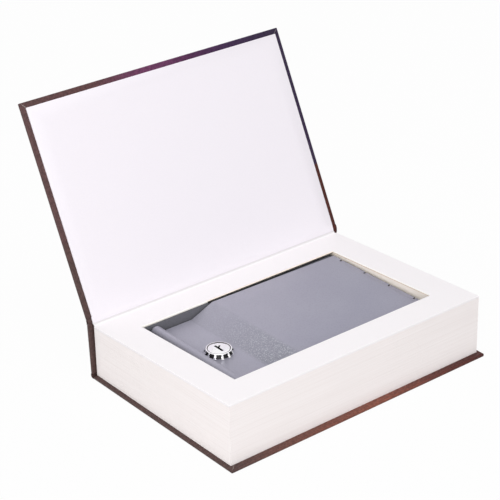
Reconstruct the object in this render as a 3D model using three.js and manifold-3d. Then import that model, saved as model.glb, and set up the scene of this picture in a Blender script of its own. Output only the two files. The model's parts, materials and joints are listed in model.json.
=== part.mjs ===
// Book diversion safe: a hard-cover book, shown open, with a lockable steel box let into its pages.
// Millimetres, +Z up. X runs along the spine, from the lock end at -X to the lid hinge at +X.
// Y runs from the fore-edge of the pages at -Y to the spine at +Y.
// The origin is the centre of the back cover's underside, which rests on the table.

import * as THREE from "three";
import { mergeVertices } from "three/addons/utils/BufferGeometryUtils.js";
import Module from "manifold-3d";

const wasm = await Module();
wasm.setup();

// Covers and spine
const coverLength = 240;
const coverWidth = 163.4;
const boardThickness = 2.5;
const boardEdgeRadius = 0.6;
const hingeToBoard = 2;
const jointRadius = 1.4;
const jointEndInset = 1;
const jointLift = 0.2;
const spineLean = 2;
const coverAngle = 64.3;

// Pages and papers
const coverEndOverhang = 3;
const coverForeOverhang = 5.05;
const pageHeightAtSpine = 40.7;
const pageHeightAtForeEdge = 47.5;
const topCardThickness = 1.5;
const pastedownThickness = 0.5;
const pastedownSideMargin = 3;
const pastedownEdgeMargin = 4.3;
const pastedownHingeMargin = 0.5;
const liningThickness = 0.5;
const liningMargin = 4;
const glueGap = 0.3;
const closedGap = 0.4;

// Steel box, in a window with these borders of paper round it
const pageEndBorder = 25;
const pageSideBorder = 25.5;
const boxEndGap = 1;
const boxSideGap = 1.2;
const boxUnderCard = 1;
const hingeEndGap = 2.4;
const pagesUnderCard = 0.8;
const sheet = 1.2;
const padThickness = 1.5;
const padMargin = 1.5;

// Lid pressing
const lidSideGap = 1.2;
const lipFromBoxEnd = 4.2;
const lipRadius = 4.9;
const lipBelowRim = 0.4;
const lipToShelf = 1.4;
const lipBendRadius = 1.5;
const shelfBelowRim = 6.5;
const rampLength = 19;
const rampTopAboveRim = 1.4;
const bendRadius = 4;
const hingeLandLength = 6;
const skirtBelowShelf = 4.5;

// Lid hinge: knuckles on one pin under the lid's far edge, by turns the box's and the lid's
const pinRadius = 0.9;
const pinClearance = 0.2;
const knuckleCount = 5;
const outerKnuckleWidth = 8.8;
const knuckleGap = 1.5;
const knuckleRunningGap = 0.3;
const knuckleToFlange = 0.6;
const reliefDepth = 2.6;
const wallBelowKnuckle = 0.6;

// Plug of the lock, and its keyway
const lockClearance = 0.3;
const plugRadius = 6;
const plugFlange = 2;
const plugHeadThickness = 1.3;
const plugFaceRecess = 0.2;
const keywayLength = 9.4;
const keywayWidth = 1.8;
const wardLength = 3.8;
const wardWidth = 1.3;
const wardOffset = 0.5;
const wardAngle = 38;
const keywayBelowWafers = 3;
const plugEndWall = 2.2;

// Wafers inside the plug
const waferCount = 5;
const waferPitch = 2.4;
const firstWaferDepth = 4;
const waferThickness = 0.9;
const waferWidth = 8.4;
const waferEndGap = 0.3;
const waferTravel = 0.9;
const waferClearance = 0.25;
const waferWindowMargin = 0.3;
const springRadius = 0.5;
const springFromWaferSide = 1.1;
const springSeatDepth = 4.2;
const springTop = 1.2;
const springPocket = 1.15;

// Housing of the lock, and what clamps it to the lid
const barrelWall = 3;
const headOverBarrel = 1.6;
const headTaper = 1.5;
const headHeight = 3.4;
const headSeatGap = 0.3;
const shelfStartToHead = 0.6;
const headToRamp = 4.2;
const fluteCount = 12;
const fluteRadius = 1.2;
const fluteDepth = 0.55;
const nutSides = 6;
const nutWall = 2.2;
const nutThickness = 3;
const lockWasherWall = 2.3;
const lockWasherThickness = 0.8;

// Cam and its fasteners
const tailSide = 6.6;
const tailClearance = 0.3;
const tailRoot = 3;
const stopWasherThickness = 1;
const stopWasherRadius = 8;
const camThickness = 2;
const camHubRadius = 8;
const camTipGap = 3.9;
const camWidth = 12;
const camWasherRadius = 5.5;
const camWasherThickness = 0.8;
const screwRadius = 2;
const screwDepth = 5;
const screwHeadRadius = 4;
const screwHeadThickness = 2.4;
const screwSlotWidth = 1;
const screwSlotDepth = 1;

// Strike that holds the cam and carries the lid's skirt
const strikeWidth = 34;
const strikeThickness = 1.5;
const strikeGapOverCam = 0.5;
const camUnderStrike = 4.6;
const strikePastSkirt = 2.1;

// Facets of round pieces
const fineSteps = 48;
const middleSteps = 32;
const coarseSteps = 16;
const smallSteps = 8;
const curlSteps = 20;
const lipSteps = 8;
const bendSteps = 3;

// Covers and pages: places that follow from the sizes above
const hingeY = coverWidth / 2 + hingeToBoard;
const rearHingeZ = jointRadius + jointLift;
const pagesZ = boardThickness + glueGap;
const spineTopZ = pagesZ + pageHeightAtSpine;
const pagesSpineY = hingeY - boardThickness / 2 - 2 * glueGap - liningThickness;
const pagesForeY = coverForeOverhang - coverWidth / 2;
const middleY = (pagesSpineY + pagesForeY) / 2;
const pageLength = coverLength - 2 * coverEndOverhang;
const pageWidth = pagesSpineY - pagesForeY;
const pageSlope = Math.atan((pageHeightAtForeEdge - pageHeightAtSpine) / pageWidth);
const coverFace = boardThickness / 2 + glueGap + pastedownThickness;
const hingeDrop = (hingeY - pagesSpineY) * Math.sin(pageSlope);
const caseHeight = spineTopZ + closedGap + (coverFace - hingeDrop) / Math.cos(pageSlope) - rearHingeZ;

// Box and lid
const boxLength = pageLength - 2 * (pageEndBorder + boxEndGap);
const boxWidth = pageWidth - 2 * (pageSideBorder - boxUnderCard);
const boxZ = pagesZ;
const rimZ = topAt(middleY + boxWidth / 2) - topCardThickness - glueGap;
const boxEndX = boxLength / 2;
const windowEndX = boxEndX + boxEndGap;
const hingeEndX = windowEndX - hingeEndGap;
const lidHalfWidth = boxWidth / 2 - sheet - lidSideGap;
const knuckleRadius = pinRadius + pinClearance + sheet;
const pinX = hingeEndX - knuckleRadius;
const pinZ = rimZ - sheet - knuckleRunningGap - knuckleRadius;
const plateEndX = pinX + knuckleRadius;
const knuckleHalfWidth = lidHalfWidth - sheet - knuckleToFlange;
const shelfZ = rimZ - shelfBelowRim;
const skirtZ = shelfZ - skirtBelowShelf;
const lipX = -boxEndX + lipFromBoxEnd;
const shelfX = lipX + 2 * lipRadius + lipToShelf;

// Lock
const barrelRadius = plugRadius + lockClearance + barrelWall;
const headBaseRadius = barrelRadius + headOverBarrel;
const headFaceRadius = headBaseRadius - headTaper;
const plugHeadRadius = plugRadius + plugFlange;
const waferRadius = plugRadius - waferEndGap;
const springCentre = waferWidth / 2 - springFromWaferSide;
const lockX = shelfX + shelfStartToHead + headBaseRadius;
const rampX = lockX + headBaseRadius + headToRamp;
const headZ = shelfZ + headSeatGap;
const faceZ = headZ + headHeight;
const plugTopZ = faceZ - plugFaceRecess;
const lastWaferZ = waferZ(waferCount - 1);
const keywayZ = lastWaferZ - keywayBelowWafers;
const barrelEndZ = keywayZ - plugEndWall;
const stopWasherZ = barrelEndZ - lockClearance - stopWasherThickness;
const camZ = stopWasherZ - lockClearance - camThickness;
const camTopZ = camZ + camThickness;
const camWasherZ = camZ - lockClearance - camWasherThickness;
const screwHeadZ = camWasherZ - lockClearance - screwHeadThickness;
const strikeX = -boxEndX + sheet + glueGap;
const camReach = lockX - strikeX - strikeThickness - camTipGap;

// A level above every piece but the cover, for cuts that run out through the top
const cutTop = 2 * spineTopZ;

// Materials
function material(color, roughness, metalness) {
  return new THREE.MeshStandardMaterial({ color, roughness, metalness });
}
const wrapBrown = material(0x4f3c3d, 0.6, 0);
const paperWhite = material(0xf6f3f5, 0.9, 0);
const pageCream = material(0xf1eadc, 0.95, 0);
const liningCloth = material(0xd9d2c4, 0.95, 0);
const greyCoat = material(0xa2a1ae, 0.5, 0.2);
const chrome = material(0xdadce0, 0.15, 1);
const zinc = material(0xa9abad, 0.4, 1);
const brass = material(0xb8995a, 0.35, 1);
const springSteel = material(0x8f9296, 0.3, 1);
const padBlack = material(0x2a2a2d, 0.95, 0);

// Solids from three.js geometry
function toSolid(geometry) {
  const plain = new THREE.BufferGeometry();
  const source = geometry.index ? geometry.toNonIndexed() : geometry;
  plain.setAttribute("position", source.getAttribute("position"));
  const merged = mergeVertices(plain, 1e-4);
  return new wasm.Manifold(
    new wasm.Mesh({
      numProp: 3,
      vertProperties: merged.attributes.position.array,
      triVerts: new Uint32Array(merged.index.array),
    }),
  );
}

function toGeometry(solid) {
  const mesh = solid.getMesh();
  const geometry = new THREE.BufferGeometry();
  geometry.setAttribute("position", new THREE.BufferAttribute(mesh.vertProperties, 3));
  geometry.setIndex(new THREE.BufferAttribute(mesh.triVerts, 1));
  geometry.computeVertexNormals();
  return geometry;
}

function block(x0, x1, y0, y1, z0, z1) {
  const geometry = new THREE.BoxGeometry(x1 - x0, y1 - y0, z1 - z0);
  geometry.translate((x0 + x1) / 2, (y0 + y1) / 2, (z0 + z1) / 2);
  return toSolid(geometry);
}

// A cylinder or cone upright at x, y, whose radius goes from bottom to top.
function upright(x, y, z0, z1, bottom, top, steps) {
  const geometry = new THREE.CylinderGeometry(top, bottom, z1 - z0, steps);
  geometry.rotateX(Math.PI / 2);
  geometry.translate(x, y, (z0 + z1) / 2);
  return toSolid(geometry);
}

function rodAlongY(x, z, y0, y1, radius, steps) {
  const geometry = new THREE.CylinderGeometry(radius, radius, y1 - y0, steps);
  geometry.translate(x, (y0 + y1) / 2, z);
  return toSolid(geometry);
}

function rodAlongX(y, z, x0, x1, radius, steps) {
  const geometry = new THREE.CylinderGeometry(radius, radius, x1 - x0, steps);
  geometry.rotateZ(Math.PI / 2);
  geometry.translate((x0 + x1) / 2, y, z);
  return toSolid(geometry);
}

function extruded(points, depth) {
  const shape = new THREE.Shape(points.map(([a, b]) => new THREE.Vector2(a, b)));
  return new THREE.ExtrudeGeometry(shape, { depth, bevelEnabled: false, curveSegments: 1 });
}

// An outline of Y, Z points drawn out along X.
function alongX(points, x0, x1) {
  const geometry = extruded(points, x1 - x0);
  geometry.rotateY(Math.PI / 2);
  geometry.rotateX(Math.PI / 2);
  geometry.translate(x0, 0, 0);
  return toSolid(geometry);
}

// An outline of X, Z points drawn out along Y.
function alongY(points, y0, y1) {
  const geometry = extruded(points, y1 - y0);
  geometry.rotateX(Math.PI / 2);
  geometry.translate(0, y1, 0);
  return toSolid(geometry);
}

// An outline of X, Y points drawn out along Z.
function alongZ(points, z0, z1) {
  const geometry = extruded(points, z1 - z0);
  geometry.translate(0, 0, z0);
  return toSolid(geometry);
}

function arc(cx, cy, radius, from, to, steps) {
  const points = [];
  for (let i = 0; i <= steps; i += 1) {
    const angle = from + ((to - from) * i) / steps;
    points.push([cx + radius * Math.cos(angle), cy + radius * Math.sin(angle)]);
  }
  return points;
}

// A rectangle with its four corners rounded.
function roundedRectangle(a0, a1, b0, b1, radius) {
  const quarter = Math.PI / 2;
  return [
    ...arc(a1 - radius, b0 + radius, radius, -quarter, 0, bendSteps),
    ...arc(a1 - radius, b1 - radius, radius, 0, quarter, bendSteps),
    ...arc(a0 + radius, b1 - radius, radius, quarter, 2 * quarter, bendSteps),
    ...arc(a0 + radius, b0 + radius, radius, 2 * quarter, 3 * quarter, bendSteps),
  ];
}

// A bend in a path of straight runs, from the point before it to the point after it.
function bend(before, corner, after, radius) {
  const cornerPoint = new THREE.Vector2(...corner);
  const back = new THREE.Vector2(...before).sub(cornerPoint).normalize();
  const ahead = new THREE.Vector2(...after).sub(cornerPoint).normalize();
  const half = Math.acos(THREE.MathUtils.clamp(back.dot(ahead), -1, 1)) / 2;
  const tangent = radius / Math.tan(half);
  const start = cornerPoint.clone().addScaledVector(back, tangent);
  const end = cornerPoint.clone().addScaledVector(ahead, tangent);
  const inward = back.clone().add(ahead).normalize();
  const centre = cornerPoint.clone().addScaledVector(inward, radius / Math.sin(half));
  const from = Math.atan2(start.y - centre.y, start.x - centre.x);
  const turn = Math.atan2(end.y - centre.y, end.x - centre.x) - from;
  const shortTurn = Math.atan2(Math.sin(turn), Math.cos(turn));
  return arc(centre.x, centre.y, radius, from, from + shortTurn, bendSteps);
}

// The path moved sideways, to the right of its direction, with mitred corners.
function offsetPath(path, distance) {
  const points = path.map(([a, b]) => new THREE.Vector2(a, b));
  return points.map((point, i) => {
    const previous = points[Math.max(i - 1, 0)];
    const next = points[Math.min(i + 1, points.length - 1)];
    const into = point.clone().sub(previous).normalize();
    const out = next.clone().sub(point).normalize();
    if (i === 0) {
      into.copy(out);
    }
    if (i === points.length - 1) {
      out.copy(into);
    }
    const sideIn = new THREE.Vector2(into.y, -into.x);
    const sideOut = new THREE.Vector2(out.y, -out.x);
    const mitre = sideIn.clone().add(sideOut).normalize();
    const reach = distance / mitre.dot(sideIn);
    return [point.x + mitre.x * reach, point.y + mitre.y * reach];
  });
}

function named(name, solid, finish) {
  const mesh = new THREE.Mesh(toGeometry(solid), finish.clone());
  mesh.name = name;
  return mesh;
}

// Covers: each board's section is drawn about the middle of its thickness.
function boardSection(a0, a1) {
  const half = boardThickness / 2;
  return roundedRectangle(a0, a1, -half, half, boardEdgeRadius);
}

function backCover() {
  const section = boardSection(-coverWidth / 2, coverWidth / 2);
  const solid = alongX(section, -coverLength / 2, coverLength / 2);
  return solid.translate([0, 0, boardThickness / 2]);
}

function frontCover() {
  const section = boardSection(hingeToBoard, hingeToBoard + coverWidth);
  return alongX(section, -coverLength / 2, coverLength / 2);
}

function spineBoard() {
  const half = boardThickness / 2;
  const section = roundedRectangle(-half, half, hingeToBoard, caseHeight - hingeToBoard, boardEdgeRadius);
  return alongX(section, -coverLength / 2, coverLength / 2);
}

function clothJoint() {
  const end = coverLength / 2 - jointEndInset;
  return rodAlongX(0, 0, -end, end, jointRadius, coarseSteps);
}

function frontPastedown() {
  const y0 = hingeToBoard + pastedownHingeMargin;
  const y1 = hingeToBoard + coverWidth - pastedownEdgeMargin;
  const x1 = coverLength / 2 - pastedownSideMargin;
  const z0 = boardThickness / 2 + glueGap;
  return block(-x1, x1, y0, y1, z0, z0 + pastedownThickness);
}

// Pages: a wedge, thicker at the fore-edge, with a window through it for the box.
function topAt(y) {
  return spineTopZ + (pagesSpineY - y) * Math.tan(pageSlope);
}

function boxWindow(halfWidth, hingeX) {
  return block(-windowEndX, hingeX, middleY - halfWidth, middleY + halfWidth, 0, cutTop);
}

function pageBlock() {
  const drop = topCardThickness + glueGap;
  const outline = [
    [pagesForeY, pagesZ],
    [pagesSpineY, pagesZ],
    [pagesSpineY, topAt(pagesSpineY) - drop],
    [pagesForeY, topAt(pagesForeY) - drop],
  ];
  const half = pageLength / 2;
  const window = boxWindow(boxWidth / 2 + boxSideGap, windowEndX + pagesUnderCard);
  return alongX(outline, -half, half).subtract(window);
}

// The card covers the rim of the box, so its window is narrower than the one in the pages.
function topCard() {
  const outline = [
    [pagesForeY, topAt(pagesForeY) - topCardThickness],
    [pagesSpineY, topAt(pagesSpineY) - topCardThickness],
    [pagesSpineY, topAt(pagesSpineY)],
    [pagesForeY, topAt(pagesForeY)],
  ];
  const half = pageLength / 2;
  const window = boxWindow(pageWidth / 2 - pageSideBorder, windowEndX);
  return alongX(outline, -half, half).subtract(window);
}

function spineLining() {
  const x1 = pageLength / 2 - liningMargin;
  const y0 = pagesSpineY + glueGap;
  const z0 = pagesZ + liningMargin;
  const z1 = spineTopZ - liningMargin;
  return block(-x1, x1, y0, y0 + liningThickness, z0, z1);
}

// Hinge knuckles share the width between the lid's flanges: those with even numbers are the box's.
function knuckleEdges() {
  const innerCount = knuckleCount - 2;
  const innerSpace = 2 * (knuckleHalfWidth - outerKnuckleWidth) - (knuckleCount - 1) * knuckleGap;
  const edges = [];
  let start = middleY - knuckleHalfWidth;
  for (let i = 0; i < knuckleCount; i += 1) {
    const isOuter = i === 0 || i === knuckleCount - 1;
    const width = isOuter ? outerKnuckleWidth : innerSpace / innerCount;
    edges.push([start, start + width]);
    start += width + knuckleGap;
  }
  return edges;
}

// A leaf of sheet rolled round the pin: the leaf lies at b = +radius and runs towards -a.
function curlOutline(leafLength) {
  const innerFace = knuckleRadius - sheet;
  const meet = Math.PI - Math.asin(innerFace / knuckleRadius);
  return [
    [-leafLength, knuckleRadius],
    ...arc(0, 0, knuckleRadius, Math.PI / 2, meet - 2 * Math.PI, curlSteps),
    [-leafLength, innerFace],
  ];
}

function boxBody() {
  const y0 = middleY - boxWidth / 2;
  const y1 = middleY + boxWidth / 2;
  const wallTopBelowPin = knuckleRadius + wallBelowKnuckle;
  const endWallZ = pinZ - wallTopBelowPin;
  const outside = block(-boxEndX, hingeEndX, y0, y1, boxZ, rimZ);
  const inside = block(-boxEndX + sheet, hingeEndX - sheet, y0 + sheet, y1 - sheet, boxZ + sheet, cutTop);
  const overHinge = block(pinX - knuckleRadius, boxEndX + sheet, y0 + sheet, y1 - sheet, endWallZ, cutTop);
  const curl = curlOutline(wallTopBelowPin + sheet).map(([u, v]) => [pinX + v, pinZ + u]);
  let solid = outside.subtract(inside).subtract(overHinge);
  for (const [a, b] of knuckleEdges().filter((edge, i) => i % 2 === 0)) {
    solid = solid.add(alongY(curl, a, b));
  }
  const bore = rodAlongY(pinX, pinZ, y0 + sheet, y1 - sheet, pinRadius + pinClearance, middleSteps);
  return solid.subtract(bore);
}

function hingePin() {
  const half = knuckleHalfWidth;
  return rodAlongY(pinX, pinZ, middleY - half, middleY + half, pinRadius, coarseSteps);
}

function floorPad() {
  const x0 = -boxEndX + sheet + padMargin;
  const x1 = hingeEndX - sheet - padMargin;
  const y = boxWidth / 2 - sheet - padMargin;
  const z0 = boxZ + sheet + glueGap;
  return block(x0, x1, middleY - y, middleY + y, z0, z0 + padThickness);
}

// The lid's outer face from end to end: skirt, rounded lip, shelf for the lock, ramp, and a top that
// falls to a level land at the hinge, flush with the box's rim.
function lidPath(endX) {
  const centreX = lipX + lipRadius;
  const centreZ = rimZ - lipBelowRim - lipRadius;
  const away = Math.hypot(shelfX - centreX, shelfZ - centreZ);
  const tangentAngle = Math.atan2(shelfZ - centreZ, shelfX - centreX) + Math.acos(lipRadius / away);
  const lip = arc(centreX, centreZ, lipRadius, Math.PI, tangentAngle, lipSteps);
  const foot = [rampX, shelfZ];
  const top = [rampX + rampLength, rimZ + rampTopAboveRim];
  const land = [plateEndX - hingeLandLength, rimZ];
  return [
    [lipX, skirtZ],
    ...lip,
    ...bend(lip[lipSteps], [shelfX, shelfZ], foot, lipBendRadius),
    ...bend([shelfX, shelfZ], foot, top, bendRadius),
    ...bend(foot, top, land, bendRadius),
    land,
    [endX, rimZ],
  ];
}

function lidPressing() {
  const y0 = middleY - lidHalfWidth;
  const y1 = middleY + lidHalfWidth;
  const pastEnd = plateEndX + sheet;
  const belowSkirt = skirtZ - sheet;
  const outside = [...lidPath(plateEndX), [plateEndX, skirtZ]];
  const underside = offsetPath(lidPath(pastEnd), sheet);
  const inside = [[lipX + sheet, belowSkirt], ...underside, [pastEnd, belowSkirt]];
  const curl = curlOutline(rimZ - sheet / 2 - pinZ).map(([u, v]) => [pinX + v, pinZ - u]);
  const besideEndWall = block(pinX, pastEnd, y0 - sheet, y1 + sheet, belowSkirt, pinZ);
  let solid = alongY(outside, y0, y1);
  solid = solid.subtract(alongY(inside, y0 + sheet, y1 - sheet)).subtract(besideEndWall);
  const edges = knuckleEdges();
  for (const [a, b] of edges.filter((edge, i) => i % 2 === 1)) {
    solid = solid.add(alongY(curl, a, b));
  }
  for (const [a, b] of edges.slice(1)) {
    const relief = block(plateEndX - reliefDepth, pastEnd, a - knuckleGap, a, pinZ, cutTop);
    solid = solid.subtract(relief);
  }
  const bore = rodAlongY(pinX, pinZ, y0 + sheet, y1 - sheet, pinRadius + pinClearance, middleSteps);
  const holeRadius = barrelRadius + lockClearance;
  const lockHole = upright(lockX, middleY, skirtZ, rimZ, holeRadius, holeRadius, fineSteps);
  return solid.subtract(bore).subtract(lockHole);
}

// Lock pieces are drawn about the lock's own axis, with their heights in the whole part's frame.
function lockDisc(z0, z1, radius, steps) {
  return upright(0, 0, z0, z1, radius, radius, steps);
}

// One groove of the fluted head, along its tapered side at +X.
function flute() {
  const reach = headFaceRadius + fluteRadius - fluteDepth;
  const geometry = new THREE.CylinderGeometry(fluteRadius, fluteRadius, 2 * headHeight, smallSteps);
  geometry.rotateX(Math.PI / 2);
  geometry.rotateY(-Math.atan2(headTaper, headHeight));
  geometry.translate(reach, 0, faceZ);
  return toSolid(geometry).subtract(block(0, 2 * reach, -reach, reach, 0, headZ));
}

function lockHousing() {
  const head = upright(0, 0, headZ, faceZ, headBaseRadius, headFaceRadius, fineSteps);
  const barrel = lockDisc(barrelEndZ, headZ + headSeatGap, barrelRadius, fineSteps);
  let solid = head.add(barrel);
  for (let i = 0; i < fluteCount; i += 1) {
    solid = solid.subtract(flute().rotate([0, 0, (360 * i) / fluteCount]));
  }
  const headSeatZ = plugTopZ - plugHeadThickness - lockClearance;
  const bore = lockDisc(0, cutTop, plugRadius + lockClearance, fineSteps);
  const counterbore = lockDisc(headSeatZ, cutTop, plugHeadRadius + lockClearance, fineSteps);
  const grooveX = waferWidth / 2 + lockClearance;
  const grooveY = plugRadius + waferTravel + lockClearance;
  const grooveEndZ = lastWaferZ - waferThickness - lockClearance;
  const groove = block(-grooveX, grooveX, -grooveY, grooveY, grooveEndZ, headSeatZ);
  return solid.subtract(bore).subtract(counterbore).subtract(groove);
}

function waferZ(i) {
  return plugTopZ - firstWaferDepth - i * waferPitch;
}

// The slot across the plug for one wafer, with a ledge left in it that the wafer's spring stands on.
function waferSlot(i) {
  const high = waferThickness / 2 + waferClearance;
  const side = waferWidth / 2 + waferClearance;
  const end = plugHeadRadius;
  const slot = block(-side, side, -end, end, waferZ(i) - high, waferZ(i) + high);
  const ledge = block(springCentre - springPocket, side, -end, -springSeatDepth, 0, cutTop);
  return slot.subtract(ledge);
}

function lockPlug() {
  const body = lockDisc(barrelEndZ, plugTopZ - plugHeadThickness / 2, plugRadius, fineSteps);
  const head = lockDisc(plugTopZ - plugHeadThickness, plugTopZ, plugHeadRadius, fineSteps);
  const half = tailSide / 2;
  const tail = block(-half, half, -half, half, camZ + tailClearance, barrelEndZ + tailRoot);
  let solid = body.add(head).add(tail);
  for (let i = 0; i < waferCount; i += 1) {
    solid = solid.subtract(waferSlot(i));
  }
  const slotX = keywayWidth / 2;
  const slotY = keywayLength / 2;
  const keyway = block(-slotX, slotX, -slotY, slotY, keywayZ, cutTop);
  const ward = block(0, wardLength, -wardWidth / 2, wardWidth / 2, keywayZ, cutTop);
  const slantedWard = ward.rotate([0, 0, wardAngle]).translate([0, wardOffset, 0]);
  const screwHole = lockDisc(0, camZ + screwDepth, screwRadius + tailClearance, coarseSteps);
  return solid.subtract(keyway).subtract(slantedWard).subtract(screwHole);
}

function wafer(i) {
  const z0 = waferZ(i) - waferThickness / 2;
  const z1 = waferZ(i) + waferThickness / 2;
  const half = waferWidth / 2;
  const strip = block(-half, half, -plugRadius, plugRadius, z0, z1);
  const plate = lockDisc(z0, z1, waferRadius, middleSteps).intersect(strip);
  const windowX = keywayWidth / 2 + waferWindowMargin;
  const windowY = keywayLength / 2 - waferTravel;
  const keyWindow = block(-windowX, windowX, -windowY, windowY, 0, cutTop);
  const springSide = springCentre - springPocket - waferClearance;
  const springNotch = block(springSide, plugRadius, -plugRadius, waferClearance - springTop, 0, cutTop);
  return plate.subtract(keyWindow).subtract(springNotch);
}

function waferSpring(i) {
  const y0 = waferClearance - springSeatDepth;
  return rodAlongY(springCentre, waferZ(i), y0, -springTop, springRadius, smallSteps);
}

function lockWasher() {
  const z1 = shelfZ - sheet - lockClearance;
  const hole = lockDisc(0, cutTop, barrelRadius + lockClearance, fineSteps);
  const disc = lockDisc(z1 - lockWasherThickness, z1, barrelRadius + lockWasherWall, fineSteps);
  return disc.subtract(hole);
}

function lockNut() {
  const z1 = shelfZ - sheet - 2 * lockClearance - lockWasherThickness;
  const hole = lockDisc(0, cutTop, barrelRadius + lockClearance, fineSteps);
  const cornerRadius = (barrelRadius + nutWall) / Math.cos(Math.PI / nutSides);
  const lastAngle = (2 * Math.PI * (nutSides - 1)) / nutSides;
  const corners = arc(0, 0, cornerRadius, 0, lastAngle, nutSides - 1);
  return alongZ(corners, z1 - nutThickness, z1).subtract(hole);
}

function tailHole() {
  const half = tailSide / 2 + tailClearance;
  return block(-half, half, -half, half, 0, faceZ);
}

function stopWasher() {
  const disc = lockDisc(stopWasherZ, stopWasherZ + stopWasherThickness, stopWasherRadius, middleSteps);
  return disc.subtract(tailHole());
}

// The cam points along +Y while the lock is open, and turns to -X under the strike to lock.
function lockCam() {
  const half = camWidth / 2;
  const hub = lockDisc(camZ, camTopZ, camHubRadius, middleSteps);
  const arm = block(-half, half, 0, camReach - half, camZ, camTopZ);
  const tip = upright(0, camReach - half, camZ, camTopZ, half, half, middleSteps);
  return hub.add(arm).add(tip).subtract(tailHole());
}

function camWasher() {
  const hole = lockDisc(0, faceZ, screwRadius + tailClearance, coarseSteps);
  const disc = lockDisc(camWasherZ, camWasherZ + camWasherThickness, camWasherRadius, middleSteps);
  return disc.subtract(hole);
}

function camScrew() {
  const head = lockDisc(screwHeadZ, screwHeadZ + screwHeadThickness, screwHeadRadius, middleSteps);
  const shank = lockDisc(screwHeadZ, camZ + screwDepth - tailClearance, screwRadius, coarseSteps);
  const slotX = screwHeadRadius;
  const slotY = screwSlotWidth / 2;
  const slot = block(-slotX, slotX, -slotY, slotY, 0, screwHeadZ + screwSlotDepth);
  return head.add(shank).subtract(slot);
}

// The strike is a channel on the end wall: the cam turns under its lower lip, and the skirt of the
// closed lid comes down on its upper lip.
function strike() {
  const webX = strikeX + strikeThickness;
  const lowZ = camTopZ + strikeGapOverCam;
  const highZ = skirtZ - lockClearance;
  const lowerEndX = lockX - camReach + camUnderStrike;
  const upperEndX = lipX + sheet + strikePastSkirt;
  const y0 = middleY - strikeWidth / 2;
  const y1 = middleY + strikeWidth / 2;
  const web = block(strikeX, webX, y0, y1, lowZ, highZ);
  const lower = block(strikeX, lowerEndX, y0, y1, lowZ, lowZ + strikeThickness);
  const upper = block(strikeX, upperEndX, y0, y1, highZ - strikeThickness, highZ);
  return web.add(lower).add(upper);
}

// Assembly
function placed(group, x, y, z) {
  group.position.set(x, y, z);
  return group;
}

const book = new THREE.Group();
book.add(named("back_cover", backCover(), wrapBrown));
book.add(named("page_block", pageBlock(), pageCream));
book.add(named("top_card", topCard(), paperWhite));
book.add(named("spine_lining", spineLining(), liningCloth));

const spineGroup = placed(new THREE.Group(), 0, hingeY, rearHingeZ);
spineGroup.rotation.x = -THREE.MathUtils.degToRad(spineLean);
spineGroup.add(named("rear_joint_cloth", clothJoint(), wrapBrown));
spineGroup.add(named("spine_board", spineBoard(), wrapBrown));
book.add(spineGroup);

const coverGroup = placed(new THREE.Group(), 0, 0, caseHeight);
coverGroup.rotation.x = THREE.MathUtils.degToRad(coverAngle + spineLean);
coverGroup.add(named("front_cover", frontCover(), wrapBrown));
coverGroup.add(named("front_joint_cloth", clothJoint(), wrapBrown));
coverGroup.add(named("front_pastedown", frontPastedown(), paperWhite));
spineGroup.add(coverGroup);

const safeBox = new THREE.Group();
safeBox.add(named("box_body", boxBody(), greyCoat));
safeBox.add(named("floor_pad", floorPad(), padBlack));
safeBox.add(named("strike", strike(), zinc));
safeBox.add(named("hinge_pin", hingePin(), springSteel));
book.add(safeBox);

const lidGroup = new THREE.Group();
lidGroup.add(named("lid", lidPressing(), greyCoat));
safeBox.add(lidGroup);

const lockGroup = placed(new THREE.Group(), lockX, middleY, 0);
lockGroup.add(named("lock_housing", lockHousing(), chrome));
lockGroup.add(named("lock_washer", lockWasher(), zinc));
lockGroup.add(named("lock_nut", lockNut(), zinc));
lidGroup.add(lockGroup);

const plugGroup = new THREE.Group();
plugGroup.add(named("lock_plug", lockPlug(), chrome));
plugGroup.add(named("stop_washer", stopWasher(), zinc));
plugGroup.add(named("lock_cam", lockCam(), zinc));
plugGroup.add(named("cam_washer", camWasher(), zinc));
plugGroup.add(named("cam_screw", camScrew(), zinc));
for (let i = 0; i < waferCount; i += 1) {
  plugGroup.add(named(`wafer_${i + 1}`, wafer(i), brass));
  plugGroup.add(named(`wafer_spring_${i + 1}`, waferSpring(i), springSteel));
}
lockGroup.add(plugGroup);

export default book;
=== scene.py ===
import json
import math

import bmesh
import bpy
from mathutils import Matrix, Vector

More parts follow.
